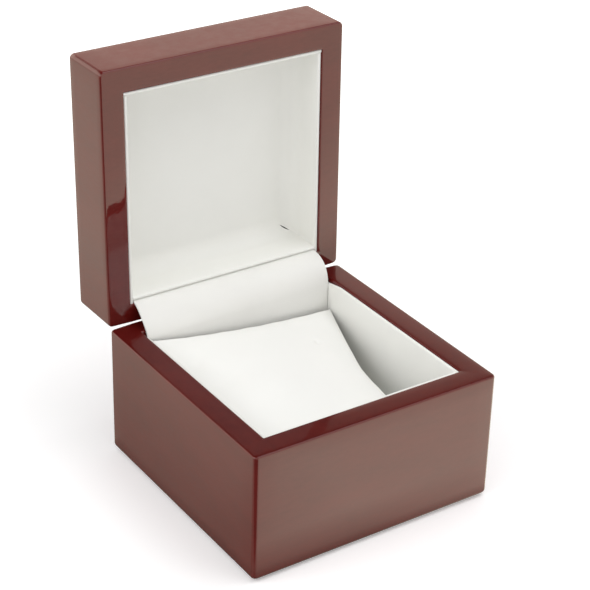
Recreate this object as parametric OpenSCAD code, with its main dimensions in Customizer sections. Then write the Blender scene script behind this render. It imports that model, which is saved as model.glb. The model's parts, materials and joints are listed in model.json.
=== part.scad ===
// Pocket watch display box: lacquered base and lid on two let-in hinges, white linings and a loose pillow.
// Origin: centre of the underside. +X right, +Y to the hinges, +Z up. The lid stands open at rest.

/* [Box] */
// Width of the box, left to right
box_w = 102; // [95:1:125]
// Depth of the box, front to hinges
box_d = 100; // [94:1:125]
// Height of the base rim above the table
base_h = 51.7; // [48:0.1:70]
// Height of the lid from its rim to its top
lid_h = 23.3; // [20:0.1:34]
// Angle between the closed lid and the standing lid
open_angle = 91; // [80:1:98]
// Gap between the closed rims
parting = 0.3; // [0.2:0.1:0.6]

/* [Boards] */
// Thickness of the left and right boards
side_wall = 9.3; // [7:0.1:12]
// Thickness of the front boards
front_wall = 9.3; // [7:0.1:12]
// Thickness of the rear boards
rear_wall = 7.3; // [7:0.1:10]
// Thickness of the floor panel
floor_t = 5; // [3:0.5:7]
// Thickness of the lid's top panel
top_t = 5; // [3:0.5:6]
// Thickness of the felt under the base
felt_t = 0.8; // [0.5:0.1:1.5]
// Distance from the felt's edge to the side of the box
felt_inset = 3; // [2:0.5:8]

/* [Rounded edges] */
// Radius of the upright corner edges
corner_r = 2; // [1:0.1:3.5]
// Radius of the outer edges along the rims
rim_r = 0.8; // [0.3:0.1:1.2]
// Radius of the outer edges around the floor
foot_r = 2.2; // [0.5:0.1:3]
// Radius of the outer edges around the lid's top
top_r = 1.3; // [0.5:0.1:3]

/* [Linings] */
// Thickness of a covered lining card
card_t = 1.4; // [1:0.1:2]
// Distance from the rim down to a card's edge
reveal = 0.4; // [0.2:0.1:1]
// Length and depth of the slope trimmed off the side cards beside the hinge cover
trim_l = 9; // [4:0.5:15]
trim_drop = 1.6; // [0.5:0.1:3]
// Thickness of the lid's padding in the middle
pad_t = 1.4; // [1:0.1:3]
// Radius of the hollow blend from the padding to the sides
pad_blend = 8; // [4:0.5:9]
// Thickness of the padding where it meets the side cards
pad_skin = 0.5; // [0.4:0.1:1]

/* [Hinge cover] */
// Thickness of the hinge cover sheet
cover_t = 0.8; // [0.6:0.1:1]
// Outer radius of the bend over the hinges
cover_r = 11.3; // [10.5:0.1:13]
// Length of the sheet tucked under the lid's rear card
cover_tuck = 6; // [3:0.5:10]
// Height of the sheet's lower edge above the floor card
cover_foot = 9; // [4:0.5:20]
// Clearance between the sheet's ends and the side cards
cover_gap = 0.2; // [0.1:0.05:0.5]

/* [Hinges] */
// Distance from the middle of the box to the middle of a hinge
hinge_x = 24; // [18:0.5:26]
// Length of a hinge
leaf_l = 24; // [18:0.5:26]
// Thickness of a hinge leaf
leaf_t = 0.9; // [0.7:0.1:1.2]
// Wood left between a leaf and the inside of the rear board
leaf_edge = 1.3; // [0.8:0.1:1.6]
// Radius of the knuckles
knuckle_r = 1.7; // [1.5:0.1:1.8]
// Radius of the hinge pin
pin_r = 0.8; // [0.6:0.05:0.9]
// Distance of the hinge axis behind the rear face
axis_out = 0.2; // [0.1:0.05:0.3]
// Radius of the screw shanks
screw_r = 0.7; // [0.5:0.05:0.8]
// Radius of the countersunk screw heads
screw_head_r = 1.3; // [1.1:0.05:1.4]
// Length of the screws
screw_l = 8; // [6:0.5:10]
// Distance from the middle of a hinge to its screws
screw_x = 7.2; // [5:0.1:8]

/* [Pillow] */
// Clearance between the pillow's corners and the linings
pillow_room = 0.5; // [0.4:0.1:3]
// Room left free beside the pillow's front right corner
pillow_free = 16; // [6:0.5:22]
// Height of the pillow's corners above the floor card
pillow_rear_left = 41.2; // [30:0.1:42]
pillow_rear_right = 32.6; // [24:0.1:42]
pillow_front_left = 32.6; // [24:0.1:42]
pillow_front_right = 27.5; // [20:0.1:42]
// Rise of the pillow's crown above its seam
pillow_crown = 6.3; // [3:0.1:9]
// Depth by which the pillow's right side is drawn in between its corners
pillow_draw = 3.8; // [0.5:0.1:6]

/* [Hidden] */
$fn = 64;

lacquer = [0.30, 0.07, 0.06];
white = [0.95, 0.95, 0.93];
brass = [0.78, 0.66, 0.38];
steel = [0.62, 0.62, 0.60];
felt_colour = [0.12, 0.04, 0.04];

// A cut runs this far past the face that it opens
past = 1;
// Running clearance of a pin in its bore
pin_gap = 0.05;
// Radius that a pin's peened head adds, and its thickness
pin_head = 0.4;
pin_head_t = 0.5;
// Clearance round the knuckles, between them and beside them
knuckle_gap = 0.2;
// Knuckles on one hinge
knuckles = 5;
// Clearance of a screw in its hole, and room under its tip
screw_gap = 0.03;
screw_tip = 1.2;
slot_w = 0.4;
slot_depth = 0.35;
// Clearance round a leaf in its mortise
leaf_gap = 0.1;

inner_w = box_w - 2 * side_wall;
inner_front = -box_d / 2 + front_wall;
inner_rear = box_d / 2 - rear_wall;
floor_top = felt_t + floor_t;
card_floor = floor_top + card_t;

axis_y = box_d / 2 + axis_out;
axis_z = base_h + parting / 2;
lid_z = base_h + parting;
lid_top = lid_z + lid_h;
ceiling = lid_top - top_t;

leaf_w = rear_wall + axis_out - leaf_edge;
leaf_root = knuckle_r + knuckle_gap;
screw_y = axis_y - (leaf_w + leaf_root) / 2;
knuckle_l = leaf_l / knuckles;

// The bend of the hinge cover leaves the rear card upright and meets the inside of the lid's rear board
lean = 90 - open_angle;
bend_in = cover_r - cover_t;
cover_rise = rear_wall + axis_out + cover_gap;
bend_y = inner_rear - card_t + bend_in;
bend_z = axis_z + (cover_rise - bend_in + sin(lean) * (bend_y - axis_y)) / cos(lean);
cover_foot_z = card_floor + cover_foot;

module rounded_rect(w, d, r) {
    difference() {
        square([w, d], center = true);
        for (sx = [-1, 1], sy = [-1, 1])
            translate([sx * (w / 2 - r), sy * (d / 2 - r)])
                corner_cut(r, sx, sy);
    }
}

// What is left of a square corner outside its rounding
module corner_cut(r, sx, sy) {
    difference() {
        translate([sx > 0 ? 0 : -r - past, sy > 0 ? 0 : -r - past]) square(r + past);
        circle(r);
    }
}

// An upright rectangle standing on zero, with its own radius at the bottom and at the top
module edge_profile(w, h, low_r, high_r) {
    difference() {
        translate([-w / 2, 0]) square([w, h]);
        for (s = [-1, 1]) {
            translate([s * (w / 2 - low_r), low_r]) corner_cut(low_r, s, -1);
            translate([s * (w / 2 - high_r), h - high_r]) corner_cut(high_r, s, 1);
        }
    }
}

// A block with every outer edge rounded
module rounded_block(w, d, h, side_r, low_r, high_r) {
    intersection() {
        linear_extrude(h) rounded_rect(w, d, side_r);
        translate([0, d / 2 + past, 0]) rotate([90, 0, 0])
            linear_extrude(d + 2 * past) edge_profile(w, h, low_r, high_r);
        translate([-w / 2 - past, 0, 0]) rotate([90, 0, 90])
            linear_extrude(w + 2 * past) edge_profile(d, h, low_r, high_r);
    }
}

module base_form() {
    translate([0, 0, felt_t]) rounded_block(box_w, box_d, base_h - felt_t, corner_r, foot_r, rim_r);
}

module lid_form() {
    translate([0, 0, lid_z]) rounded_block(box_w, box_d, lid_h, corner_r, rim_r, top_r);
}

// Plan of one board, mitred from the box's corners to the corners of the opening
module board_plan(side) {
    x = box_w / 2;
    y = box_d / 2;
    i = inner_w / 2;
    if (side == "front") polygon([[-x, -y], [x, -y], [i, inner_front], [-i, inner_front]]);
    if (side == "rear") polygon([[-x, y], [-i, inner_rear], [i, inner_rear], [x, y]]);
    if (side == "left") polygon([[-x, -y], [-i, inner_front], [-i, inner_rear], [-x, y]]);
    if (side == "right") polygon([[x, -y], [x, y], [i, inner_rear], [i, inner_front]]);
}

module base_board(side) {
    intersection() {
        base_form();
        translate([0, 0, floor_top]) linear_extrude(base_h - floor_top) board_plan(side);
    }
}

module lid_board(side) {
    intersection() {
        lid_form();
        translate([0, 0, lid_z]) linear_extrude(ceiling - lid_z) board_plan(side);
    }
}

// Turns what is drawn for the closed lid to where it stands open
module opened() {
    translate([0, axis_y, axis_z]) rotate([-open_angle, 0, 0]) translate([0, -axis_y, -axis_z]) children();
}

// Mirrors a base hinge part to the lid side of the parting
module over_parting() {
    translate([0, 0, axis_z]) mirror([0, 0, 1]) translate([0, 0, -axis_z]) children();
}

// Hinges

module knuckle_bore(r) {
    translate([-leaf_l / 2 - past, axis_y, axis_z]) rotate([0, 90, 0])
        cylinder(r = r, h = leaf_l + 2 * past);
}

module screw_places() {
    for (s = [-1, 1]) translate([s * screw_x, screw_y, base_h]) children();
}

module countersink(gap) {
    translate([0, 0, -leaf_t]) cylinder(r1 = screw_r + gap, r2 = screw_head_r + gap, h = leaf_t);
}

// The knuckles that a leaf carries, counted from one end
module leaf_knuckles(first) {
    for (k = [first : 2 : knuckles - 1]) {
        from = -leaf_l / 2 + k * knuckle_l + (k == 0 ? 0 : knuckle_gap / 2);
        to = -leaf_l / 2 + (k + 1) * knuckle_l - (k == knuckles - 1 ? 0 : knuckle_gap / 2);
        translate([from, axis_y, axis_z]) rotate([0, 90, 0]) cylinder(r = knuckle_r, h = to - from);
        translate([from, axis_y - leaf_root - leaf_edge, base_h - leaf_t])
            cube([to - from, leaf_root + leaf_edge, leaf_t]);
    }
}

module leaf(first) {
    difference() {
        union() {
            translate([-leaf_l / 2, axis_y - leaf_w, base_h - leaf_t])
                cube([leaf_l, leaf_w - leaf_root, leaf_t]);
            leaf_knuckles(first);
        }
        knuckle_bore(pin_r + pin_gap);
        screw_places() countersink(screw_gap);
    }
}

module pin() {
    for (s = [-1, 1])
        translate([s * (leaf_l + pin_head_t) / 2, axis_y, axis_z]) rotate([0, 90, 0])
            cylinder(r = pin_r + pin_head, h = pin_head_t, center = true);
    translate([0, axis_y, axis_z]) rotate([0, 90, 0]) cylinder(r = pin_r, h = leaf_l, center = true);
}

module screw() {
    difference() {
        union() {
            countersink(0);
            translate([0, 0, -screw_l + screw_tip]) cylinder(r = screw_r, h = screw_l - screw_tip - leaf_t);
            translate([0, 0, -screw_l]) cylinder(r1 = screw_r / 5, r2 = screw_r, h = screw_tip);
        }
        translate([-slot_w / 2, -screw_head_r - past, -slot_depth])
            cube([slot_w, 2 * (screw_head_r + past), slot_depth + past]);
    }
}

// What a hinge takes out of the board that it is let into
module hinge_pocket() {
    translate([-leaf_l / 2 - leaf_gap, axis_y - leaf_w - leaf_gap, base_h - leaf_t])
        cube([leaf_l + 2 * leaf_gap, leaf_w + leaf_gap + past, leaf_t + past]);
    translate([-leaf_l / 2 - pin_head_t - leaf_gap, axis_y, axis_z]) rotate([0, 90, 0])
        cylinder(r = knuckle_r + knuckle_gap, h = leaf_l + 2 * (pin_head_t + leaf_gap));
    screw_places() translate([0, 0, -screw_l - screw_gap]) cylinder(r = screw_r + screw_gap, h = screw_l);
}

module at_hinges() {
    for (s = [-1, 1]) translate([s * hinge_x, 0, 0]) children();
}

// Base

module base_front_board() color(lacquer) base_board("front");
module base_left_board() color(lacquer) base_board("left");
module base_right_board() color(lacquer) base_board("right");

module base_rear_board() {
    color(lacquer) difference() {
        base_board("rear");
        at_hinges() hinge_pocket();
    }
}

module base_floor_panel() {
    color(lacquer) intersection() {
        base_form();
        translate([-box_w / 2, -box_d / 2, felt_t]) cube([box_w, box_d, floor_t]);
    }
}

module base_felt() {
    color(felt_colour) linear_extrude(felt_t)
        rounded_rect(box_w - 2 * felt_inset, box_d - 2 * felt_inset, corner_r);
}

// A covered card, standing on zero along +X, its thickness along +Y and its free edge rounded
module card(l, h) {
    rotate([90, 0, 90]) linear_extrude(l) {
        square([card_t, h - card_t / 2]);
        translate([card_t / 2, h - card_t / 2]) circle(card_t / 2);
    }
}

card_h = base_h - reveal - card_floor;
side_card_l = inner_rear - inner_front;
between_w = inner_w - 2 * card_t;

// A slope from the card's free edge down to its end, drawn for an end at zero
module trim_cut() {
    slope = trim_drop / trim_l;
    translate([0, card_t + past, card_h]) rotate([90, 0, 0]) linear_extrude(card_t + 2 * past)
        polygon([[-past, -trim_drop - past * slope], [trim_l, 0], [trim_l, past], [-past, past]]);
}

module base_lining_left() {
    color(white) translate([-inner_w / 2, inner_rear, card_floor]) rotate([0, 0, -90]) difference() {
        card(side_card_l, card_h);
        trim_cut();
    }
}

module base_lining_right() {
    color(white) translate([inner_w / 2, inner_front, card_floor]) rotate([0, 0, 90]) difference() {
        card(side_card_l, card_h);
        translate([side_card_l, 0, 0]) mirror([1, 0, 0]) trim_cut();
    }
}

module base_lining_front() {
    color(white) translate([-between_w / 2, inner_front, card_floor]) card(between_w, card_h);
}

// The rear card stops where the hinge cover starts to bend
module base_lining_rear() {
    color(white) translate([between_w / 2, inner_rear, card_floor]) rotate([0, 0, 180])
        card(between_w, bend_z - card_floor);
}

module base_lining_floor() {
    color(white) translate([-inner_w / 2, inner_front, floor_top]) cube([inner_w, side_card_l, card_t]);
}

module hinge_left_base_leaf() color(brass) translate([-hinge_x, 0, 0]) leaf(0);
module hinge_right_base_leaf() color(brass) translate([hinge_x, 0, 0]) leaf(0);
module hinge_left_pin() color(brass) translate([-hinge_x, 0, 0]) pin();
module hinge_right_pin() color(brass) translate([hinge_x, 0, 0]) pin();
module hinge_base_screws() color(steel) at_hinges() screw_places() screw();

// Section of the hinge cover: tucked under the lid's rear card, bent over the hinges, glued to the rear card
module cover_section() {
    reach = cover_r + past;
    translate([bend_y, bend_z]) {
        difference() {
            circle(cover_r);
            circle(bend_in);
            translate([-reach, -reach]) square([2 * reach, reach]);
            rotate(lean) translate([0, -reach]) square([reach, 2 * reach]);
        }
        rotate(lean) translate([0, bend_in]) square([cover_tuck, cover_t]);
    }
    translate([bend_y - cover_r, cover_foot_z]) square([cover_t, bend_z - cover_foot_z]);
}

module hinge_cover() {
    l = between_w - 2 * cover_gap;
    color(white) translate([-l / 2, 0, 0]) rotate([90, 0, 90]) linear_extrude(l) cover_section();
}

// Lid, drawn closed and then turned open

module lid_front_board() color(lacquer) opened() lid_board("front");
module lid_left_board() color(lacquer) opened() lid_board("left");
module lid_right_board() color(lacquer) opened() lid_board("right");

module lid_rear_board() {
    color(lacquer) opened() difference() {
        lid_board("rear");
        over_parting() at_hinges() hinge_pocket();
    }
}

module lid_top_panel() {
    color(lacquer) opened() intersection() {
        lid_form();
        translate([-box_w / 2, -box_d / 2, ceiling]) cube([box_w, box_d, top_t]);
    }
}

// A card that hangs from the ceiling with its free edge down
module lid_card(l) {
    translate([0, 0, ceiling]) mirror([0, 0, 1]) card(l, ceiling - lid_z - reveal);
}

// The rear card lies on the tucked end of the hinge cover
lid_rear = inner_rear - cover_gap - cover_t;
lid_front = inner_front + card_t;

module lid_lining_front() {
    color(white) opened() translate([-inner_w / 2, inner_front, 0]) lid_card(inner_w);
}

module lid_lining_left() {
    color(white) opened() translate([-inner_w / 2, inner_rear, 0]) rotate([0, 0, -90])
        lid_card(inner_rear - lid_front);
}

module lid_lining_right() {
    color(white) opened() translate([inner_w / 2, lid_front, 0]) rotate([0, 0, 90])
        lid_card(inner_rear - lid_front);
}

module lid_lining_rear() {
    color(white) opened() translate([between_w / 2, lid_rear, 0]) rotate([0, 0, 180]) lid_card(between_w);
}

// Padding of the ceiling, hollowed with round blends up its sides
module lid_pad() {
    d = lid_rear - card_t - lid_front;
    h = pad_t + pad_blend;
    w = between_w - 2 * pad_skin;
    color(white) opened() translate([0, lid_front + d / 2, 0]) difference() {
        translate([-between_w / 2, -d / 2, ceiling - h]) cube([between_w, d, h]);
        translate([0, 0, ceiling - pad_t - 2 * h])
            rounded_block(w, d - 2 * pad_skin, 2 * h, pad_blend / 2, pad_blend / 2, pad_blend);
    }
}

module hinge_left_lid_leaf() color(brass) opened() over_parting() translate([-hinge_x, 0, 0]) leaf(1);
module hinge_right_lid_leaf() color(brass) opened() over_parting() translate([hinge_x, 0, 0]) leaf(1);
module hinge_lid_screws() color(steel) opened() over_parting() at_hinges() screw_places() screw();

// Pillow

// Grid cells along each side of the pillow's two faces
cells = 20;
// Depth by which its left, front and rear sides are drawn in
left_draw = 1.5;
front_draw = 1;
rear_draw = 0.7;
// How evenly the drawn sides curve, and how full the crown is: smaller is fuller
draw_power = 1.1;
crown_power = 0.6;
// How much lower the seam runs between the corners than a straight line
corner_lift = 1.7;
// Clearance between the pillow and the floor card, and how much of the underside rests level
pillow_gap = 0.3;
rest_share = 1.3;

// The pillow fills the base but for the room at its front right corner
pillow_left = -between_w / 2 + pillow_room;
pillow_right = between_w / 2 - pillow_room;
pillow_front = inner_front + card_t + pillow_room;
pillow_rear = bend_y - cover_r - pillow_room;

function ease(i) = sin(90 * (2 * i / cells - 1));
function mix(a, b, share) = a + (b - a) * (share + 1) / 2;
function fullness(u, v) = pow(max(0, (1 - u * u) * (1 - v * v)), crown_power);
function drawn(depth, w) = depth * (1 - pow(abs(w), draw_power));
// Place of a seam or face point, with u from left to right and v from front to rear
function pillow_plan(u, v) = [
    mix(
        pillow_left + drawn(left_draw, v),
        mix(pillow_right - pillow_free, pillow_right, v) - drawn(pillow_draw, v),
        u
    ),
    mix(pillow_front + drawn(front_draw, u), pillow_rear - drawn(rear_draw, u), v)
];
function pillow_mid(u, v) = mix(mix(pillow_front_left, pillow_front_right, u),
    mix(pillow_rear_left, pillow_rear_right, u), v) - corner_lift * (1 - u * u * v * v);
function pillow_top(u, v) = concat(pillow_plan(u, v), [pillow_mid(u, v) + pillow_crown * fullness(u, v)]);
// The underside sags down to the floor card and rests on it
function sag(u, v) = min(1, rest_share * fullness(u, v));
function pillow_under(u, v) = concat(pillow_plan(u, v),
    [pillow_mid(u, v) * (1 - sag(u, v)) + pillow_gap * sag(u, v)]);

// Points go along rows: first the top face, then the inner points of the underside
function at_top(i, j) = i * (cells + 1) + j;
function on_seam(i, j) = i == 0 || j == 0 || i == cells || j == cells;
function at_under(i, j) = on_seam(i, j) ? at_top(i, j)
    : (cells + 1) * (cells + 1) + (i - 1) * (cells - 1) + j - 1;

function at_face(i, j, under) = under == 1 ? at_under(i, j) : at_top(i, j);
// Each cell is split along the diagonal that points to the middle, so a corner's halves both reach inwards
function split_up(i, j) = (2 * i < cells) == (2 * j < cells);
function cell_corners(i, j) = split_up(i, j)
    ? [[i, j], [i, j + 1], [i + 1, j + 1], [i + 1, j]]
    : [[i + 1, j], [i, j], [i, j + 1], [i + 1, j + 1]];
function cell_half(i, j, half, under) = let (
    c = cell_corners(i, j),
    a = at_face(c[0][0], c[0][1], under),
    b = at_face(c[1 + half][0], c[1 + half][1], under),
    d = at_face(c[2 + half][0], c[2 + half][1], under)
) under == 1 ? [a, d, b] : [a, b, d];

module pillow() {
    points = concat(
        [for (i = [0 : cells], j = [0 : cells]) pillow_top(ease(i), ease(j))],
        [for (i = [1 : cells - 1], j = [1 : cells - 1]) pillow_under(ease(i), ease(j))]
    );
    tops = [for (i = [0 : cells - 1], j = [0 : cells - 1], half = [0, 1]) cell_half(i, j, half, 0)];
    unders = [for (i = [0 : cells - 1], j = [0 : cells - 1], half = [0, 1]) cell_half(i, j, half, 1)];
    color(white) translate([0, 0, card_floor]) polyhedron(points, concat(tops, unders));
}

base_front_board();
base_rear_board();
base_left_board();
base_right_board();
base_floor_panel();
base_felt();
base_lining_front();
base_lining_left();
base_lining_right();
base_lining_rear();
base_lining_floor();
hinge_left_base_leaf();
hinge_right_base_leaf();
hinge_left_pin();
hinge_right_pin();
hinge_base_screws();
hinge_cover();
lid_front_board();
lid_rear_board();
lid_left_board();
lid_right_board();
lid_top_panel();
lid_lining_front();
lid_lining_left();
lid_lining_right();
lid_lining_rear();
lid_pad();
hinge_left_lid_leaf();
hinge_right_lid_leaf();
hinge_lid_screws();
pillow();
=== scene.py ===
"""Looks of the pocket watch display box: its lacquered halves, white linings, hinge cover and pillow.

Lengths are in metres, in the CAD frame: +X right, +Y to the hinges, +Z up, origin under the base's middle.
"""

import json
import math

import bmesh
import bpy
from mathutils import Matrix, Vector


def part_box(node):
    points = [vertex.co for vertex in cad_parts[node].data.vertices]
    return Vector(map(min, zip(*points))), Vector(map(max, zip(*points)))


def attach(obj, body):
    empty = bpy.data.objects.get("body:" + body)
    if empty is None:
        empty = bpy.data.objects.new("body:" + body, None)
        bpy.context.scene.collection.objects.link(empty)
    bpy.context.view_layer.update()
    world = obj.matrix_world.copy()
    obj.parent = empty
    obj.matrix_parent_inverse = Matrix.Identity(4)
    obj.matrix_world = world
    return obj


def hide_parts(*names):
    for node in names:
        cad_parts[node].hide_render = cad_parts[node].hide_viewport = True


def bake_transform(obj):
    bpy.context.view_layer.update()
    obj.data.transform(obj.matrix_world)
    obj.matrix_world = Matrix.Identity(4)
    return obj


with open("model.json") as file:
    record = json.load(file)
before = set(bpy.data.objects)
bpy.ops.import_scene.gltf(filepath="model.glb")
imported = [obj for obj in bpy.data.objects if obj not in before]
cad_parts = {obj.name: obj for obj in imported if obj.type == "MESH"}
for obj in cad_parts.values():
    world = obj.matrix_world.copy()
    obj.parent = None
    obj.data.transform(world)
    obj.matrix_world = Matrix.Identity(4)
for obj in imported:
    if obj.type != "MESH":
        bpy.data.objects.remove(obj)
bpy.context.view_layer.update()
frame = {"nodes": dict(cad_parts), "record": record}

MM = 0.001


# Sizes, read from the frame

def span(node):
    """Low and high corners of a node at rest."""
    lo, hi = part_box(node)
    return Vector(lo), Vector(hi)


HINGE = next(j for j in frame["record"]["behaviour"]["joints"] if j["name"] == "lid_hinge")
AXIS = Vector(HINGE["pos_m"])
OPEN = math.radians(HINGE["range_deg"][1])

# The lid's pieces are drawn closed, over the base, and turned open about the hinge axis
OPENED = Matrix.Translation(AXIS) @ Matrix.Rotation(-OPEN, 4, "X") @ Matrix.Translation(-AXIS)


def closed_span(node):
    """Low and high corners of a lid node as it lies with the lid closed."""
    o = frame["nodes"][node]
    back = OPENED.inverted() @ o.matrix_world
    points = [back @ v.co for v in o.data.vertices]
    return (Vector([min(p[k] for p in points) for k in range(3)]),
            Vector([max(p[k] for p in points) for k in range(3)]))


PANEL_LO, PANEL_HI = span("base_floor_panel")
BOX_W, BOX_D = PANEL_HI.x - PANEL_LO.x, PANEL_HI.y - PANEL_LO.y
BASE_LOW, FLOOR_TOP = PANEL_LO.z, PANEL_HI.z
RIM = span("base_front_board")[1].z

CARD_LO, CARD_HI = span("base_lining_right")
INNER_X = CARD_HI.x
INNER_FRONT, INNER_REAR = CARD_LO.y, CARD_HI.y
INNER_Y = (INNER_FRONT + INNER_REAR) / 2
CARD_FLOOR, CARD_TOP = CARD_LO.z, CARD_HI.z
CARD_T = INNER_X - CARD_LO.x
BETWEEN_X = INNER_X - CARD_T

TOP_LO, TOP_HI = closed_span("lid_top_panel")
CEILING, LID_TOP = TOP_LO.z, TOP_HI.z
LID_RIM = closed_span("lid_front_board")[0].z
LID_CARD_LOW = closed_span("lid_lining_front")[0].z
LID_FRONT = closed_span("lid_lining_left")[0].y
LID_REAR = closed_span("lid_lining_rear")[1].y
PAD_LO, PAD_HI = closed_span("lid_pad")
COVER_LO, COVER_HI = span("hinge_cover")
LEAF_LO, LEAF_HI = span("hinge_right_base_leaf")


# Meshes

# Degrees above which an edge stays sharp
CREASE = 40
CARD_CREASE = 50
SOFT_CREASE = 60
NO_CREASE = 180

CORNER_STEPS = 8
SIDE_STEPS = 12
ROUND_STEPS = 6
LEAST_R = 0.02 * MM       # least corner radius of a ring
LEAST_FLAT = 0.01 * MM    # least half of a straight side of a ring


def mesh_object(name, verts, faces, crease=CREASE):
    """A smooth mesh whose edges stay sharp above the crease angle."""
    mesh = bpy.data.meshes.new(name)
    mesh.from_pydata([tuple(v) for v in verts], [], faces)
    bm = bmesh.new()
    bm.from_mesh(mesh)
    bmesh.ops.recalc_face_normals(bm, faces=bm.faces)
    bm.to_mesh(mesh)
    bm.free()
    mesh.shade_smooth()
    if crease < NO_CREASE:
        mesh.set_sharp_from_angle(angle=math.radians(crease))
    o = bpy.data.objects.new(name, mesh)
    bpy.context.collection.objects.link(o)
    return o


def keep_modifiers(o, crease):
    """Makes what the modifiers of an object show its own mesh."""
    bpy.context.view_layer.update()
    shown = o.evaluated_get(bpy.context.evaluated_depsgraph_get())
    made = bpy.data.meshes.new_from_object(shown)
    o.modifiers.clear()
    o.data = made
    made.shade_smooth()
    made.set_sharp_from_angle(angle=math.radians(crease))


def cut_away(o, cutters, crease=CREASE):
    """Takes the volumes of the cutters away from an object for good."""
    for cutter in cutters:
        m = o.modifiers.new("cut", "BOOLEAN")
        m.operation = "DIFFERENCE"
        m.solver = "EXACT"
        m.object = cutter
    keep_modifiers(o, crease)
    for cutter in cutters:
        bpy.data.objects.remove(cutter)


def ring(w, d, r, z, y=0.0):
    """One level of a rounded rectangle, w by d, centred on x = 0 and on y."""
    r = min(max(r, LEAST_R), w / 2 - LEAST_FLAT, d / 2 - LEAST_FLAT)
    cx, cy = w / 2 - r, d / 2 - r
    centres = [(cx, -cy, -90), (cx, cy, 0), (-cx, cy, 90), (-cx, -cy, 180)]

    def at(k, share):
        px, py, start = centres[k % 4]
        a = math.radians(start + 90 * share)
        return Vector((px + r * math.cos(a), y + py + r * math.sin(a), z))

    points = []
    for k in range(4):
        points += [at(k, i / CORNER_STEPS) for i in range(CORNER_STEPS + 1)]
        points += [at(k, 1).lerp(at(k + 1, 0), i / SIDE_STEPS) for i in range(1, SIDE_STEPS)]
    return points


def loft(name, rings, crease=CREASE):
    """A solid through rings of equal count, with a flat face at both ends."""
    n = len(rings[0])
    faces = [tuple(range(n)), tuple(range((len(rings) - 1) * n, len(rings) * n))]
    for k in range(len(rings) - 1):
        a, b = k * n, (k + 1) * n
        faces += [(a + i, a + (i + 1) % n, b + (i + 1) % n, b + i) for i in range(n)]
    return mesh_object(name, [p for level in rings for p in level], faces, crease)


def rounding(steps=ROUND_STEPS):
    """Shares (inwards, along) from (1, 0) to (0, 1) over a quarter circle."""
    turns = [math.pi / 2 * i / steps for i in range(steps + 1)]
    return [(1 - math.sin(t), 1 - math.cos(t)) for t in turns]


def block(name, lo, hi):
    """A block between two corners."""
    x, y, z = zip(lo, hi)
    verts = [(x[i], y[j], z[k]) for i in (0, 1) for j in (0, 1) for k in (0, 1)]
    faces = [(0, 1, 3, 2), (4, 6, 7, 5), (0, 4, 5, 1), (2, 3, 7, 6), (0, 2, 6, 4), (1, 5, 7, 3)]
    return mesh_object(name, verts, faces)


def rod(name, lo, hi, r, sides=32):
    """A round rod along X from lo to hi, about the hinge axis."""
    turns = [2 * math.pi * i / sides for i in range(sides)]
    verts = [(x, AXIS.y + r * math.cos(t), AXIS.z + r * math.sin(t)) for x in (lo, hi) for t in turns]
    faces = [tuple(range(sides)), tuple(range(sides, 2 * sides))]
    faces += [(i, (i + 1) % sides, sides + (i + 1) % sides, sides + i) for i in range(sides)]
    return mesh_object(name, verts, faces)


# Materials

class Nodes:
    """Short calls for the nodes of a tree, whose inputs are numbers, colours or outputs of other nodes."""

    def __init__(self, tree):
        self.tree = tree

    def put(self, value, socket):
        """Links an output to an input, or sets the input. A colour gets its fourth part here."""
        if isinstance(value, bpy.types.NodeSocket):
            self.tree.links.new(value, socket)
        elif socket.type == "RGBA":
            socket.default_value = (*value, 1)
        else:
            socket.default_value = value

    def add(self, kind, inputs=None, **settings):
        node = self.tree.nodes.new("ShaderNode" + kind)
        for key, value in settings.items():
            setattr(node, key, value)
        for key, value in (inputs or {}).items():
            self.put(value, node.inputs[key])
        return node

    def maths(self, operation, a, b=0.0):
        return self.add("Math", {0: a, 1: b}, operation=operation).outputs[0]

    def levels(self, value, low, high, to_low=0.0, to_high=1.0):
        """Stretches a value from one range to another, and holds it within that."""
        ends = {"From Min": low, "From Max": high, "To Min": to_low, "To Max": to_high}
        return self.add("MapRange", {"Value": value, **ends}).outputs["Result"]

    def blend_colour(self, share, a, b):
        return self.add("Mix", {"Factor": share, 6: a, 7: b}, data_type="RGBA").outputs[2]

    def choose(self, share, a, b):
        """The shader a, or b as far as the share goes."""
        return self.add("MixShader", {0: share, 1: a, 2: b}).outputs[0]


class Surface(Nodes):
    """The nodes of a new material, with its shader and the place on the object."""

    def __init__(self, name):
        self.material = bpy.data.materials.new(name)
        self.material.use_nodes = True
        super().__init__(self.material.node_tree)
        self.shader = self.tree.nodes["Principled BSDF"]
        self.place = self.add("TexCoord").outputs["Object"]

    def set(self, **inputs):
        for key, value in inputs.items():
            self.put(value, self.shader.inputs[key.replace("_", " ")])

    def noise(self, scale, detail, roughness=0.5, stretch=(1, 1, 1)):
        """Soft noise of about scale waves to the metre, fewer along an axis whose stretch is under 1."""
        at = self.add("Mapping", {"Vector": self.place, "Scale": stretch}).outputs[0]
        inputs = {"Vector": at, "Scale": scale, "Detail": detail, "Roughness": roughness}
        return self.add("TexNoise", inputs).outputs[0]

    def cells(self, scale):
        return self.add("TexVoronoi", {"Vector": self.place, "Scale": scale}).outputs["Distance"]

    def bump(self, height, distance, strength, over=None):
        """Unevenness of the surface, over an earlier bump where one is given."""
        inputs = {"Height": height, "Distance": distance, "Strength": strength}
        if over is not None:
            inputs["Normal"] = over
        return self.add("Bump", inputs).outputs[0]


# Colours, as linear red, green and blue
STAIN_DARK = Vector((0.092, 0.0045, 0.0038))
STAIN_LIGHT = Vector((0.118, 0.0068, 0.0055))
STAIN_SPECK = (0.145, 0.016, 0.011)
SPECK_SHARE = 0.2
MOTTLE_STRETCH = (0.3, 0.3, 1)
POLISH_ROUGHNESS = 0.035


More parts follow.
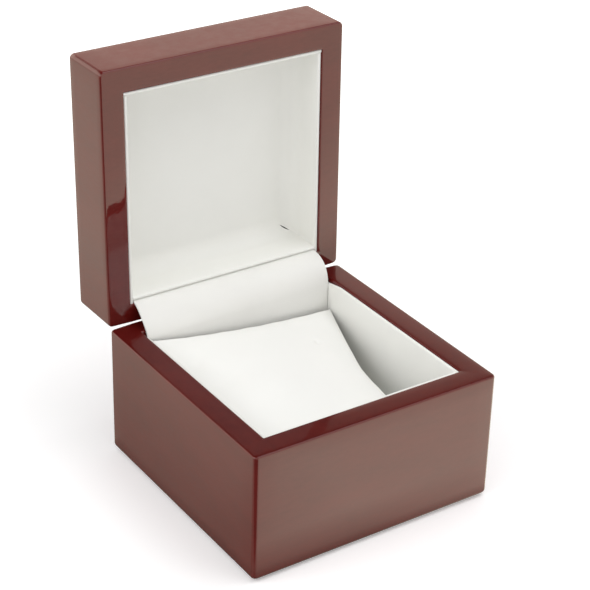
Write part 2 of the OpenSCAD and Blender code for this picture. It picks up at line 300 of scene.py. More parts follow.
def lacquer(name, coat, depth):
    """Dark red stain, made lighter or darker by depth to paint light or shade on copies, under a polished
    coat with orange peel and dust.
    """
    n = Surface(name)
    mottle = n.levels(n.noise(90, 5, 0.6, MOTTLE_STRETCH), 0.3, 0.7)
    fine = n.levels(n.noise(900, 3, 0.6, MOTTLE_STRETCH), 0.35, 0.65)
    # depth above 1 paints light, below 1 paints shade; at 1 the stain is its own colour
    stain = n.blend_colour(mottle, STAIN_DARK * depth, STAIN_LIGHT * depth)
    speckled = n.blend_colour(n.maths("MULTIPLY", fine, SPECK_SHARE), stain, STAIN_SPECK)
    n.set(Base_Color=speckled, Roughness=n.levels(fine, 0, 1, 0.38, 0.46), Specular_IOR_Level=0.05)
    sweep = n.bump(n.noise(110, 2, 0.5, (1, 1, 0.6)), 0.05 * MM, 0.35)
    peel = n.bump(n.noise(330, 2), 0.03 * MM, 0.45, sweep)
    ripple = n.bump(n.noise(1100, 2), 0.005 * MM, 0.4, peel)
    dust = n.bump(n.levels(n.cells(420), 0.0, 0.04, 1, 0), 0.03 * MM, 0.3, ripple)
    n.set(Coat_Weight=coat, Coat_IOR=1.5, Coat_Roughness=POLISH_ROUGHNESS, Coat_Normal=dust)
    return n.material


def leatherette(name, colour, shade, roughness=0.5):
    """Thin leatherette: fine pebbled grain over soft unevenness, whose hollows are painted a little darker,
    as shade.
    """
    n = Surface(name)
    soft = n.levels(n.noise(30, 3), 0.35, 0.65)
    worn = n.levels(n.noise(90, 2), 0.3, 0.7, roughness - 0.05, roughness + 0.08)
    # the hollows of the soft unevenness get the darker colour: painted shade
    n.set(Base_Color=n.blend_colour(soft, shade, colour), Roughness=worn, Specular_IOR_Level=0.35)
    pebbles = n.maths("MULTIPLY", n.cells(1500), 0.6)
    grain = n.maths("ADD", pebbles, n.maths("MULTIPLY", n.noise(2600, 2), 0.4))
    waves = n.bump(soft, 0.25 * MM, 0.25)
    n.set(Normal=n.bump(grain, 0.04 * MM, 0.4, waves))
    return n.material


def metal(name, colour, worn, stretch):
    """Rolled metal with fine drawn lines along one direction."""
    n = Surface(name)
    lines = n.noise(900, 4, 0.6, stretch)
    wear = n.levels(n.noise(160, 4), 0.35, 0.7)
    n.set(Base_Color=n.blend_colour(wear, colour, worn), Metallic=1.0)
    n.set(Roughness=n.levels(lines, 0.3, 0.7, 0.22, 0.42), Normal=n.bump(lines, 0.01 * MM, 0.4))
    return n.material


def felt(name, colour, tips):
    """Short-napped felt."""
    n = Surface(name)
    nap = n.noise(1500, 5, 0.7)
    n.set(Base_Color=n.blend_colour(n.levels(nap, 0.35, 0.65), colour, tips))
    n.set(Roughness=0.95, Specular_IOR_Level=0.1, Normal=n.bump(nap, 0.15 * MM, 0.7))
    n.set(Sheen_Weight=0.4, Sheen_Roughness=0.5)
    return n.material


LACQUER = lacquer("lacquer", coat=1.0, depth=1.0)
LACQUER_RIM_PAINTED_SHADE = lacquer("lacquer_rim_painted_shade", coat=0.3, depth=0.8)   # the base's rim: painted shade, a darker copy with a thinner coat that mirrors less
LACQUER_FRONT_PAINTED_LIGHT = lacquer("lacquer_front_painted_light", coat=0.3, depth=1.15)    # the lid's front: painted light, a lighter copy with a thinner coat
LINING = leatherette("lining", (0.90, 0.90, 0.865), (0.875, 0.875, 0.84))
PILLOW = leatherette("pillow_cover", (0.90, 0.90, 0.875), (0.88, 0.88, 0.855), 0.55)
COVER = leatherette("hinge_cover_sheet", (0.87, 0.865, 0.835), (0.845, 0.84, 0.81))
BRASS = metal("hinge_brass", (0.80, 0.62, 0.30), (0.62, 0.44, 0.19), (0.05, 1, 1))
STEEL = metal("screw_steel", (0.62, 0.61, 0.59), (0.48, 0.47, 0.45), (1, 0.1, 1))
FELT = felt("felt", (0.018, 0.006, 0.006), (0.045, 0.014, 0.013))
# The walls of the slit in the lid's padding: painted shade, dark as the shadow deep inside it
SLIT_PAINTED_SHADE = leatherette("slit_painted_shade", (0.10, 0.09, 0.08), (0.07, 0.065, 0.06), 0.8)


def dress(o, material, body):
    """Gives a piece its material and the body that it rides on."""
    o.data.materials.clear()
    o.data.materials.append(material)
    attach(o, body)


def dress_nodes(names, material):
    """Gives a material to CAD nodes that are shown as they are."""
    for name in names:
        o = frame["nodes"][name]
        o.data.materials.clear()
        o.data.materials.append(material)


# Lacquered halves

UPRIGHT_R = 1.8 * MM     # rounding of the upright corners
FOOT_R = 2.2 * MM        # of the edges under the base
TOP_R = 1.3 * MM         # of the edges around the lid's top
RIM_OUT_R = 0.8 * MM     # of the rims' outer edges
RIM_IN_R = 0.5 * MM      # of the rims' inner edges
WELL_R = 0.4 * RIM_IN_R  # of the corners in the wells
SHUT_SHRINK = 0.5        # share of a shut edge's rounding that the upright corners lose on it
RIM_SHRINK = 0.7         # the same on a rim's outer edge
RIM_CROWN = 0.05 * MM    # how far the rims' polished middle stands above their edges
REAR_BLEND = 3.0 * MM    # how far from the rear edge of the rims their rounding tightens
REAR_SHARPNESS = 0.2     # share of the rounding that is left there
WALL_STEPS = 8
RIM_STEPS = 12
RIM_IN_STEPS = 4

# Room cut for the hinges
LEAF_GAP = 0.1 * MM      # around a leaf
KNUCKLE_GAP = 0.2 * MM   # around the knuckles
PIN_ROOM = 0.6 * MM      # past the knuckles, for the heads of the pin
CUT_PAST = 2 * MM        # how far a cutter reaches past the wood

FACING = 0.9             # cosine of the most that a face may turn from a direction and still face it
RIM_PAINTED_SHADE_BELOW = 1 * MM    # how far below its top the base's rim gets the darker copy with painted shade


def sharpen_at_hinges(point, rim, up):
    """Draws a point near a rim's rear edge towards it, so that the halves lie close at the hinges."""
    inward, below = BOX_D / 2 - point.y, up * (rim - point.z)
    if inward < REAR_BLEND and 0 <= below < REAR_BLEND:
        far = max(0, (max(inward, below) - RIM_OUT_R) / (REAR_BLEND - RIM_OUT_R))
        beside = min(1, max(0, (BOX_W / 2 - UPRIGHT_R - abs(point.x)) / REAR_BLEND))
        share = 1 - (1 - REAR_SHARPNESS) * (1 - far) * beside
        point.y, point.z = BOX_D / 2 - inward * share, rim - up * below * share


def lacquered_tray(name, shut, shut_r, rim, well):
    """A box half: shut at one level with edges rounded by shut_r, open at the rim, with a well.

    The polished rim is crowned a little, so that mirrored lines bend near its edges.
    """
    up = 1 if rim > shut else -1
    low_rim = rim - up * RIM_CROWN
    foot, edge = shut + up * shut_r, low_rim - up * RIM_OUT_R
    w, d = 2 * INNER_X, INNER_REAR - INNER_FRONT

    def outer(inward, shrink, z):
        return ring(BOX_W - 2 * inward, BOX_D - 2 * inward, UPRIGHT_R - shrink * inward, z)

    def inner(outward, z):
        return ring(w + 2 * outward, d + 2 * outward, WELL_R + outward, z, INNER_Y)

    rings = [outer(shut_r * i, SHUT_SHRINK, shut + up * shut_r * a) for i, a in rounding()]
    rings += [outer(0, 0, foot + (edge - foot) * k / WALL_STEPS) for k in range(1, WALL_STEPS)]
    rings += [outer(RIM_OUT_R * i, RIM_SHRINK, low_rim - up * RIM_OUT_R * a)
              for i, a in reversed(rounding())]
    well_edge = [inner(RIM_IN_R * i, low_rim - up * RIM_IN_R * a) for i, a in rounding(RIM_IN_STEPS)]
    rim_edge = rings[-1]
    for k in range(1, RIM_STEPS):
        share = k / RIM_STEPS
        rise = Vector((0, 0, up * RIM_CROWN * (1 - abs(2 * share - 1) ** 3)))
        rings.append([a.lerp(b, share) + rise for a, b in zip(rim_edge, well_edge[0])])
    rings += well_edge
    rings.append(inner(0, well))
    for level in rings:
        for point in level:
            sharpen_at_hinges(point, rim, up)
    return loft(name, rings)


def cut_hinge_pockets(tray, mirrored):
    """Mortises for the leaves of both hinges and grooves for their knuckles, as in the CAD boards."""
    knuckle_r = LEAF_HI.z - AXIS.z + KNUCKLE_GAP
    cutters = []
    for side in (-1, 1):
        lo_x, hi_x = sorted((side * LEAF_LO.x, side * LEAF_HI.x))
        lo = Vector((lo_x - LEAF_GAP, LEAF_LO.y - LEAF_GAP, LEAF_LO.z))
        hi = Vector((hi_x + LEAF_GAP, AXIS.y + CUT_PAST, RIM + CUT_PAST))
        cutters.append(block("cut_leaf", lo, hi))
        cutters.append(rod("cut_knuckles", lo_x - PIN_ROOM, hi_x + PIN_ROOM, knuckle_r))
    if mirrored:
        up, down = Matrix.Translation((0, 0, AXIS.z)), Matrix.Translation((0, 0, -AXIS.z))
        for cutter in cutters:
            cutter.data.transform(up @ Matrix.Scale(-1, 4, (0, 0, 1)) @ down)
            cutter.data.flip_normals()
    cut_away(tray, cutters)


def give_painted_light_copy(shell, material, towards, low=None):
    """Gives the faces that look one way a second material, a lighter or darker copy that paints light or
    shade on them, above a level where one is given.
    """
    shell.data.materials.append(material)
    for face in shell.data.polygons:
        if face.normal.dot(towards) > FACING and (low is None or face.center.z > low):
            face.material_index = 1


def make_base_shell():
    shell = lacquered_tray("base_shell", BASE_LOW, FOOT_R, RIM, FLOOR_TOP)
    cut_hinge_pockets(shell, mirrored=False)
    dress(shell, LACQUER, "base")
    give_painted_light_copy(shell, LACQUER_RIM_PAINTED_SHADE, Vector((0, 0, 1)), RIM - RIM_PAINTED_SHADE_BELOW)
    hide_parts("base_front_board", "base_rear_board", "base_left_board", "base_right_board",
                "base_floor_panel")


def make_lid_shell():
    shell = lacquered_tray("lid_shell", LID_TOP, TOP_R, LID_RIM, CEILING)
    cut_hinge_pockets(shell, mirrored=True)
    dress(shell, LACQUER, "lid")
    give_painted_light_copy(shell, LACQUER_FRONT_PAINTED_LIGHT, Vector((0, -1, 0)))
    shell.data.transform(OPENED)
    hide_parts("lid_front_board", "lid_rear_board", "lid_left_board", "lid_right_board",
                "lid_top_panel")


# Lining cards

TRIM_L = 9.0 * MM       # how far the base's side cards are trimmed beside the hinge cover
TRIM_DROP = 1.6 * MM    # how much lower they end there
CARD_STEPS = 60
EDGE_STEPS = 8


def card(name, length, height, dip=None):
    """A covered card on z = 0 along +X, its thickness along +Y, with a soft rolled free edge.

    dip(share) lowers the free edge along the length.
    """
    r = CARD_T / 2
    turns = [math.pi * i / EDGE_STEPS for i in range(EDGE_STEPS + 1)]
    verts, faces = [], []
    for i in range(CARD_STEPS + 1):
        share = i / CARD_STEPS
        top = height - r - (dip(share) if dip else 0)
        section = [(0, 0), (0, top / 2)]
        section += [(r * (1 - math.cos(t)), top + r * math.sin(t)) for t in turns]
        section += [(CARD_T, top / 2), (CARD_T, 0)]
        verts += [Vector((length * share, y, z)) for y, z in section]
    n = len(verts) // (CARD_STEPS + 1)
    for i in range(CARD_STEPS):
        a, b = i * n, (i + 1) * n
        faces += [(a + k, a + (k + 1) % n, b + (k + 1) % n, b + k) for k in range(n)]
    faces += [tuple(range(n)), tuple(range(CARD_STEPS * n, (CARD_STEPS + 1) * n))]
    return mesh_object(name, verts, faces, CARD_CREASE)


def place(o, at, turn=0.0, flip=False):
    """Puts a card at a corner, turned about Z in degrees, or hung upside down."""
    m = Matrix.Translation(at)
    if flip:
        m = m @ Matrix.Scale(-1, 4, (0, 0, 1))
    o.data.transform(m @ Matrix.Rotation(math.radians(turn), 4, "Z"))
    if flip:
        o.data.flip_normals()


def make_base_linings():
    height = CARD_TOP - CARD_FLOOR
    length = INNER_REAR - INNER_FRONT

    def trim(share):
        return TRIM_DROP * max(0, 1 - (1 - share) * length / TRIM_L)

    def trim_from_rear(share):
        return trim(1 - share)

    left = card("base_card_left", length, height, trim_from_rear)
    place(left, (-INNER_X, INNER_REAR, CARD_FLOOR), -90)
    right = card("base_card_right", length, height, trim)
    place(right, (INNER_X, INNER_FRONT, CARD_FLOOR), 90)
    front = card("base_card_front", 2 * BETWEEN_X, height)
    place(front, (-BETWEEN_X, INNER_FRONT, CARD_FLOOR))
    for o, node in ((left, "base_lining_left"), (right, "base_lining_right"),
                    (front, "base_lining_front")):
        dress(o, LINING, "base")
        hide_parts(node)
    dress_nodes(["base_lining_rear", "base_lining_floor"], LINING)


def make_lid_linings():
    height = CEILING - LID_CARD_LOW
    length = INNER_REAR - LID_FRONT
    front = card("lid_card_front", 2 * INNER_X, height)
    place(front, (-INNER_X, INNER_FRONT, CEILING), 0, flip=True)
    left = card("lid_card_left", length, height)
    place(left, (-INNER_X, INNER_REAR, CEILING), -90, flip=True)
    right = card("lid_card_right", length, height)
    place(right, (INNER_X, LID_FRONT, CEILING), 90, flip=True)
    rear = card("lid_card_rear", 2 * BETWEEN_X, height)
    place(rear, (BETWEEN_X, LID_REAR, CEILING), 180, flip=True)
    for o, node in ((front, "lid_lining_front"), (left, "lid_lining_left"), (right, "lid_lining_right"),
                    (rear, "lid_lining_rear")):
        o.data.transform(OPENED)
        dress(o, LINING, "lid")
        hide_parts(node)


# Padding of the lid

PAD_LIP = 0.9 * MM        # how far its sides end short of the cards' edges
PAD_LEAN = 0.6 * MM       # how much narrower it is at the blend than at the lip
PAD_BLEND = 7.0 * MM      # round blend from the padding up its sides
PAD_T = 1.4 * MM          # its thickness where the blend ends
PAD_SWELL = 0.6 * MM      # how much thicker it is in the middle
PAD_EDGE_R = 0.3 * MM     # rounding of its outer corners
PAD_SIDE_R = 0.4 * MM     # rounding of the corners of its sides
PAD_BLEND_GROWTH = 0.12   # how fast that rounding grows along the blend
PAD_FLAT_R = 2.5 * MM     # rounding of the corners of its flat part
PAD_SIDE_STEPS = 6
PAD_BLEND_STEPS = 14
PAD_FLAT_STEPS = 24

# A short slit where the lining parts, deep in the lid's right corner by the hinges
SLIT_FROM, SLIT_TO = Vector((34.3, 66.9, 65.9)) * MM, Vector((37.8, 65.0, 63.5)) * MM
SLIT_FACES = Vector((0, -0.76, 0.65))    # the way that the lining faces there
SLIT_W = 0.5 * MM
SLIT_TIP_W = 0.02 * MM
SLIT_DEPTH = 1.1 * MM
SLIT_STEPS = 12


def cut_slit(pad):
    """Cuts a thin lens into the padding, painted dark inside as the shade deep in it."""
    along = (SLIT_TO - SLIT_FROM).normalized()
    across = along.cross(SLIT_FACES).normalized()
    corners = [(side, depth) for side in (-1, 1) for depth in (-SLIT_DEPTH, SLIT_DEPTH)]
    verts, faces = [], [(0, 1, 3, 2), tuple(4 * SLIT_STEPS + k for k in (0, 1, 3, 2))]
    for k in range(SLIT_STEPS + 1):
        middle = SLIT_FROM.lerp(SLIT_TO, k / SLIT_STEPS)
        half = (SLIT_TIP_W + SLIT_W * math.sin(math.pi * k / SLIT_STEPS)) / 2
        verts += [middle + across * side * half + SLIT_FACES * depth for side, depth in corners]
    for k in range(SLIT_STEPS):
        a = 4 * k
        faces += [(a + i, a + j, a + 4 + j, a + 4 + i) for i, j in ((0, 1), (1, 3), (3, 2), (2, 0))]
    cutter = mesh_object("cut_slit", verts, faces)
    for material in (LINING, SLIT_PAINTED_SHADE):
        cutter.data.materials.append(material)
    pad.data.materials.append(SLIT_PAINTED_SHADE)
    for face in cutter.data.polygons:
        face.material_index = 1
    cut_away(pad, [cutter], SOFT_CREASE)


def make_lid_pad():
    """The lid's lining inside its cards: a padded dish whose sides rise to their edges in a soft blend."""
    w, d = PAD_HI.x - PAD_LO.x, PAD_HI.y - PAD_LO.y
    y = (PAD_LO.y + PAD_HI.y) / 2
    lip, floor = LID_CARD_LOW + PAD_LIP, CEILING - PAD_T

    def level(narrower, r, z):
        return ring(w - narrower, d - narrower, r, z, y)

    rings = [level(0, PAD_EDGE_R, CEILING), level(0, PAD_EDGE_R, lip)]
    for k in range(1, PAD_SIDE_STEPS + 1):
        share = k / PAD_SIDE_STEPS
        rings.append(level(PAD_LEAN * share, PAD_SIDE_R, lip + (floor - PAD_BLEND - lip) * share))
    for i, a in reversed(rounding(PAD_BLEND_STEPS)):
        inward = PAD_BLEND * i
        r = PAD_SIDE_R + PAD_BLEND_GROWTH * inward
        rings.append(level(PAD_LEAN + 2 * inward, r, floor - PAD_BLEND * a))
    flat_w, flat_d = w - PAD_LEAN - 2 * PAD_BLEND, d - PAD_LEAN - 2 * PAD_BLEND
    for k in range(1, PAD_FLAT_STEPS):
        share = 1 - k / PAD_FLAT_STEPS
        z = floor - PAD_SWELL * (1 - share * share)
        rings.append(ring(flat_w * share, flat_d * share, PAD_FLAT_R * share, z, y))
    pad = loft("lid_padding", rings, SOFT_CREASE)
    pad.data.transform(OPENED)
    dress(pad, LINING, "lid")
    cut_slit(pad)
    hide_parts("lid_pad")


# Hinge cover

COVER_T = 0.8 * MM          # thickness in the CAD
COVER_SHOWN_T = 0.7 * MM    # thickness shown
COVER_BEND_R = 11.3 * MM    # outer radius of its bend
COVER_SAG = 1.8 * MM        # how far its bend sinks at the left end
COVER_SWELL = 0.8 * MM      # how far its bend rises at the right end
COVER_LIFT = (-0.5, 0.8)    # the way it rises, in (y, z)
COVER_STEPS_X = 60
UPRIGHT_STEPS = 10
BEND_STEPS = 24
TUCK_STEPS = 3


def cover_path():
    """The cover's middle line in (y, z): up from its foot, over the hinges, under the lid's rear card."""
    lean = OPEN - math.pi / 2
    radius = COVER_BEND_R - COVER_T / 2
    front = COVER_LO.y + COVER_T / 2
    bend_y = front + radius
    bend_z = COVER_HI.z - COVER_T / 2 - radius - math.sin(lean) * (COVER_HI.y - bend_y)
    upright = bend_z - COVER_LO.z
    points = [(front, COVER_LO.z + upright * i / UPRIGHT_STEPS) for i in range(UPRIGHT_STEPS)]
    for i in range(BEND_STEPS + 1):
        a = math.pi - (math.pi / 2 + lean) * i / BEND_STEPS
        points.append((bend_y + radius * math.cos(a), bend_z + radius * math.sin(a)))
    y, z = points[-1]
    for k in range(1, TUCK_STEPS + 1):
        further = (COVER_HI.y - y) * k / TUCK_STEPS
        points.append((y + further, z - further * math.tan(lean)))
    return points, (front, bend_z), (bend_y, bend_z + radius)


def make_hinge_cover():
    path, upright_end, bend_end = cover_path()
    first, last = UPRIGHT_STEPS - 1, UPRIGHT_STEPS + BEND_STEPS
    verts, faces = [], []
    for i in range(COVER_STEPS_X + 1):
        share = i / COVER_STEPS_X
        x = COVER_LO.x + (COVER_HI.x - COVER_LO.x) * share
        rise = COVER_SWELL * share ** 2 - COVER_SAG * (1 - share) ** 1.5
        for k, (y, z) in enumerate(path):
            turn = min(1, max(0, (k - first) / (last - first)))
            lift = rise * math.sin(math.pi * turn) ** 1.5
            verts.append(Vector((x, y + COVER_LIFT[0] * lift, z + COVER_LIFT[1] * lift)))
    n = len(path)
    for i in range(COVER_STEPS_X):
        a, b = i * n, (i + 1) * n
        faces += [(a + k, a + k + 1, b + k + 1, b + k) for k in range(n - 1)]
    cover = mesh_object("hinge_cover_leatherette", verts, faces, NO_CREASE)
    m = cover.modifiers.new("thickness", "SOLIDIFY")
    m.thickness = COVER_SHOWN_T
    m.offset = 0
    keep_modifiers(cover, SOFT_CREASE)
    cover.data.materials.append(COVER)
    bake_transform(cover)
    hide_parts("hinge_cover")


# Pillow

# Corners of its seam as (x, y, z): the rear ones lean on the hinge cover, the left ones on a card
PILLOW_CORNERS = {
    (-1, -1): Vector((-39.4, -39.8, 39.8)) * MM,
    (1, -1): Vector((23.6, -39.8, 34.7)) * MM,
    (-1, 1): Vector((-39.4, 39.6, 48.5)) * MM,
    (1, 1): Vector((39.9, 38.3, 39.8)) * MM,
}
# How far each side is drawn in between its corners
DRAW_LEFT, DRAW_RIGHT, DRAW_FRONT, DRAW_REAR = (d * MM for d in (1.5, 3.8, 1.0, 0.7))
DRAW_POWER = 1.1
PILLOW_DIP = 1.7 * MM       # how far the seam sinks between its corners
PILLOW_RISE = 6.35 * MM     # how high its crown stands over the surface between the seams
RISE_POWER = 0.602          # how fast it rises from the seam: less is faster
SLACK_POWER = 0.8           # how slowly its left part rises: more is slower
SAG_SHARE, SAG_POWER = 1.3, 0.6    # how fast the under face sinks from the seam
PILLOW_FOOT = 0.3 * MM      # how far above the floor card it ends
# Small pulls that run in from the seam: their depth, and (waves, start) along the sides and the ends
PULL_DEPTH = 0.3 * MM
SIDE_WAVES, END_WAVES = (19, 2), (23, 1)
# Dents in its upper face as x, y, radius and depth: a pin prick in its cover, and soft hollows
PILLOW_DENTS = [[d * MM for d in dent] for dent in (
    (18.8, 15.7, 1.0, 1.0),
    (-25, 8, 7, 1.8),
    (-31, 22, 5, 1.5),
)]
PILLOW_CELLS = 150
MERGE_WITHIN = 0.01 * MM


def seam_surface(u, v):
    """A point between the seams, with u from left to right and v from front to rear, both -1 to 1."""
    point = Vector((0, 0, 0))
    for (cu, cv), corner in PILLOW_CORNERS.items():
        point += corner * (1 + cu * u) * (1 + cv * v) / 4
    bow_u, bow_v = 1 - abs(u) ** DRAW_POWER, 1 - abs(v) ** DRAW_POWER
    point.x += bow_v * (DRAW_LEFT * (1 - u) - DRAW_RIGHT * (1 + u)) / 2
    point.y += bow_u * (DRAW_FRONT * (1 - v) - DRAW_REAR * (1 + v)) / 2
    point.z -= PILLOW_DIP * (1 - (u * v) ** 2)
    return point


def fullness(u, v):
    """From 0 at the seam to 1 in the middle of the pillow."""
    return max(0, (1 - u * u) * (1 - v * v))


def under_point(u, v):
    """A point of the under face, which sinks smoothly to the floor card."""
    point = seam_surface(u, v)
    sag = min(1, SAG_SHARE * fullness(u, v) ** SAG_POWER)
    sag = sag * sag * (3 - 2 * sag)
    point.z += (CARD_FLOOR + PILLOW_FOOT - point.z) * sag
    return point


def seam_pull(u, v):
    """Height of the small pulls, which fade away from the seam."""
    beside = math.sin(SIDE_WAVES[0] * v + SIDE_WAVES[1]) * abs(u) ** 4
    before = math.sin(END_WAVES[0] * u + END_WAVES[1]) * abs(v) ** 4
    return PULL_DEPTH * max(abs(u), abs(v)) ** 6 * (beside + before) * fullness(u, v) ** 0.3


def upper_point(u, v):
    """A point of the upper face, which rises from the seam and has its pulls and dents."""
    point = seam_surface(u, v)
    slack = (1 - u * u) ** SLACK_POWER if u < 0 else 1
    point.z += slack * PILLOW_RISE * fullness(u, v) ** RISE_POWER + seam_pull(u, v)
    for x, y, radius, depth in PILLOW_DENTS:
        point.z -= depth * math.exp(-((point.x - x) ** 2 + (point.y - y) ** 2) / radius ** 2)
    return point


def make_pillow():
    n = PILLOW_CELLS
    steps = [math.sin(math.pi / 2 * (2 * i / n - 1)) for i in range(n + 1)]
    verts, faces = [], []
    for face_point in (upper_point, under_point):
        start = len(verts)
        verts += [face_point(u, v) for u in steps for v in steps]
        for i in range(n):
            a, b = start + i * (n + 1), start + (i + 1) * (n + 1)
            faces += [(a + j, b + j, b + j + 1, a + j + 1) for j in range(n)]
    pillow = mesh_object("pillow_body", verts, faces, NO_CREASE)
    bm = bmesh.new()
    bm.from_mesh(pillow.data)
    bmesh.ops.remove_doubles(bm, verts=bm.verts, dist=MERGE_WITHIN)
    bmesh.ops.recalc_face_normals(bm, faces=bm.faces)
    if bm.calc_volume(signed=True) < 0:
        bmesh.ops.reverse_faces(bm, faces=bm.faces)
    bm.to_mesh(pillow.data)
    bm.free()
    pillow.data.shade_smooth()
    dress(pillow, PILLOW, "pillow")
    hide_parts("pillow")


make_base_shell()
make_lid_shell()
make_base_linings()
make_lid_linings()
make_lid_pad()
make_hinge_cover()
make_pillow()
dress_nodes(["hinge_left_base_leaf", "hinge_right_base_leaf", "hinge_left_lid_leaf", "hinge_right_lid_leaf",
             "hinge_left_pin", "hinge_right_pin"], BRASS)
dress_nodes(["hinge_base_screws", "hinge_lid_screws"], STEEL)
dress_nodes(["base_felt"], FELT)


# Camera, from the photograph

CAMERA_AT = Vector((-325.67, -475.17, 389.59)) * MM
AZIMUTH, ELEVATION, ROLL = (math.radians(a) for a in (-34.19, 28.62, 1.505))
LENS, SENSOR = 112.4, 36    # in millimetres
CLIP_NEAR, CLIP_FAR = 0.01, 20


def make_camera():
    back = Vector((math.sin(AZIMUTH) * math.cos(ELEVATION),
                   -math.cos(AZIMUTH) * math.cos(ELEVATION),
                   math.sin(ELEVATION)))
    level = Vector((math.cos(AZIMUTH), math.sin(AZIMUTH), 0))
    upright = back.cross(level)
    right = math.cos(ROLL) * level + math.sin(ROLL) * upright
    turned = Matrix((right, back.cross(right), back)).transposed().to_4x4()
    data = bpy.data.cameras.new("camera")
    data.lens, data.sensor_width = LENS, SENSOR
    data.clip_start, data.clip_end = CLIP_NEAR, CLIP_FAR
    camera = bpy.data.objects.new("camera", data)
    camera.matrix_world = Matrix.Translation(CAMERA_AT) @ turned
    bpy.context.collection.objects.link(camera)
    bpy.context.scene.camera = camera


# Studio

FLOOR_REACH = 4.0
FLOOR_WHITE = (0.93, 0.93, 0.93)
# How much whiter the camera sees the floor, by the distance from the middle of the box.
# It is a ramp of four numbers, from where to where, and from which strength to which.
CAMERA_LIFT = (0.2, 0.8, 0.25, 1.0)

# The floor that mirrors see stands for a lamp in front and for the shadow around the box, by such ramps
GLOW_COLOUR = (1, 0.96, 0.80)
GLOW_CONTACT = (0.0, 0.006, 0.4, 1.0)       # by the distance from the sides of the box
GLOW_SHADE_AT = (-0.10, -0.10, 0)           # a darker place beside the near corner
GLOW_SHADE = (0.02, 0.11, 0.55, 1.0)        # by the distance from it
GLOW_CORNER = (-0.060, -0.050, 0.1, 1)      # by X and by Y: dark only past both sides of the near corner
GLOW_LEFT = (-0.06, -0.12, 0.46, 1.0)       # by X, beside the box on the left
GLOW_RIGHT = (0.0, 0.06, 0, 1.3)            # by X, added beside the box on the right
GLOW_FRONT = (-0.10, -0.20, 2.4, 1.85)      # by Y, in front of the box
GLOW_TURN = (-0.045, -0.07)                 # by Y, where the front takes over from the sides

# The sky that mirrors see: shares of its light at heights from 0, the horizon, to 1, overhead
SKY_LIGHT = 2.1
SKY_TINT = (1, 0.87, 0.75)
SKY = [(0.47, 1.0), (0.53, 0.36), (0.62, 0.06)]
WORLD_LIGHT = 0.61

# Softboxes as name, place, width, height and watts, all turned to the middle of the base
SOFTBOX_AIM = Vector((0, 0, 0.05))
SOFTBOXES = [
    ("key", (0.5, -0.35, 1.4), 1.2, 1.0, 8.0),
    ("side", (-1.0, 0.12, 0.75), 0.7, 0.7, 3.5),
    ("fill", (-0.9, -0.6, 0.9), 0.8, 0.8, 1.5),
]


def floor_glow(n):
    """The light that mirrors see on the floor."""
    at = n.add("SeparateXYZ", {"Vector": n.place}).outputs
    beside_x = n.maths("SUBTRACT", n.maths("ABSOLUTE", at["X"]), BOX_W / 2)
    beside_y = n.maths("SUBTRACT", n.maths("ABSOLUTE", at["Y"]), BOX_D / 2)
    contact = n.levels(n.maths("MAXIMUM", beside_x, beside_y), *GLOW_CONTACT)
    away = n.add("VectorMath", {0: n.place, 1: GLOW_SHADE_AT}, operation="DISTANCE").outputs["Value"]
    corner = n.maths("MAXIMUM", n.levels(at["X"], *GLOW_CORNER), n.levels(at["Y"], *GLOW_CORNER))
    shade = n.maths("MULTIPLY", n.levels(away, *GLOW_SHADE), corner)
    sides = n.maths("ADD", n.levels(at["X"], *GLOW_LEFT), n.levels(at["X"], *GLOW_RIGHT))
    front = n.levels(at["Y"], *GLOW_FRONT)
    lamp = n.add("Mix", {"Factor": n.levels(at["Y"], *GLOW_TURN), 2: sides, 3: front}).outputs[0]
    strength = n.maths("MULTIPLY", n.maths("MULTIPLY", contact, shade), lamp)
    return n.add("Emission", {"Color": GLOW_COLOUR, "Strength": strength}).outputs[0]


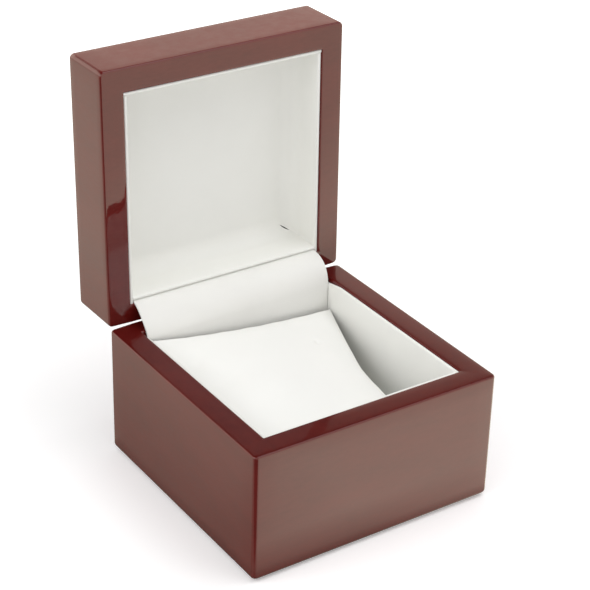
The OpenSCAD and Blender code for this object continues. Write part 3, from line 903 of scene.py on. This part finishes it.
def make_floor():
    """A white table that keeps the shadow."""
    r = FLOOR_REACH
    floor = mesh_object("floor", [(-r, -r, 0), (r, -r, 0), (r, r, 0), (-r, r, 0)], [(0, 1, 2, 3)])
    n = Surface("floor")
    n.set(Base_Color=FLOOR_WHITE, Specular_IOR_Level=0.0)
    n.set(Roughness=n.levels(n.noise(6, 2), 0.2, 0.8, 0.88, 0.92))
    rays = n.add("LightPath").outputs
    away = n.add("VectorMath", {0: n.place}, operation="LENGTH").outputs["Value"]
    whiter = n.maths("MULTIPLY", rays["Is Camera Ray"], n.levels(away, *CAMERA_LIFT))
    lift = n.add("Emission", {"Color": (1, 1, 1), "Strength": whiter}).outputs[0]
    seen = n.add("AddShader", {0: n.shader.outputs[0], 1: lift}).outputs[0]
    n.put(n.choose(rays["Is Glossy Ray"], seen, floor_glow(n)),
          n.tree.nodes["Material Output"].inputs["Surface"])
    floor.data.materials.append(n.material)


def make_world():
    """White to the camera, a soft studio to the rest: mirrors see it brighter towards the horizon."""
    world = bpy.data.worlds.new("studio")
    world.use_nodes = True
    n = Nodes(world.node_tree)
    n.tree.nodes.clear()
    way = n.add("SeparateXYZ", {0: n.add("TexCoord").outputs["Generated"]}).outputs
    sky = n.add("ValToRGB", {"Fac": way["Z"]})
    stops = sky.color_ramp.elements
    for k, (z, share) in enumerate(SKY):
        stop = stops[k] if k < 2 else stops.new(z)
        stop.position = z
        stop.color = (*(share * part for part in SKY_TINT), 1)

    def background(colour, strength):
        return n.add("Background", {"Color": colour, "Strength": strength}).outputs[0]

    rays = n.add("LightPath").outputs
    mirrored = background(sky.outputs["Color"], SKY_LIGHT)
    others = n.choose(rays["Is Glossy Ray"], background((1, 1, 1), WORLD_LIGHT), mirrored)
    shown = n.choose(rays["Is Camera Ray"], others, background((1, 1, 1), 1.0))
    n.add("OutputWorld", {"Surface": shown})
    bpy.context.scene.world = world


def softbox(name, at, width, height, watts):
    light = bpy.data.lights.new(name, "AREA")
    light.shape = "RECTANGLE"
    light.size, light.size_y = width, height
    light.energy = watts
    o = bpy.data.objects.new(name, light)
    o.location = at
    o.rotation_euler = (SOFTBOX_AIM - Vector(at)).to_track_quat("-Z", "Y").to_euler()
    bpy.context.collection.objects.link(o)


make_camera()
make_floor()
make_world()
for row in SOFTBOXES:
    softbox(*row)
bpy.context.scene.view_settings.view_transform = "Standard"
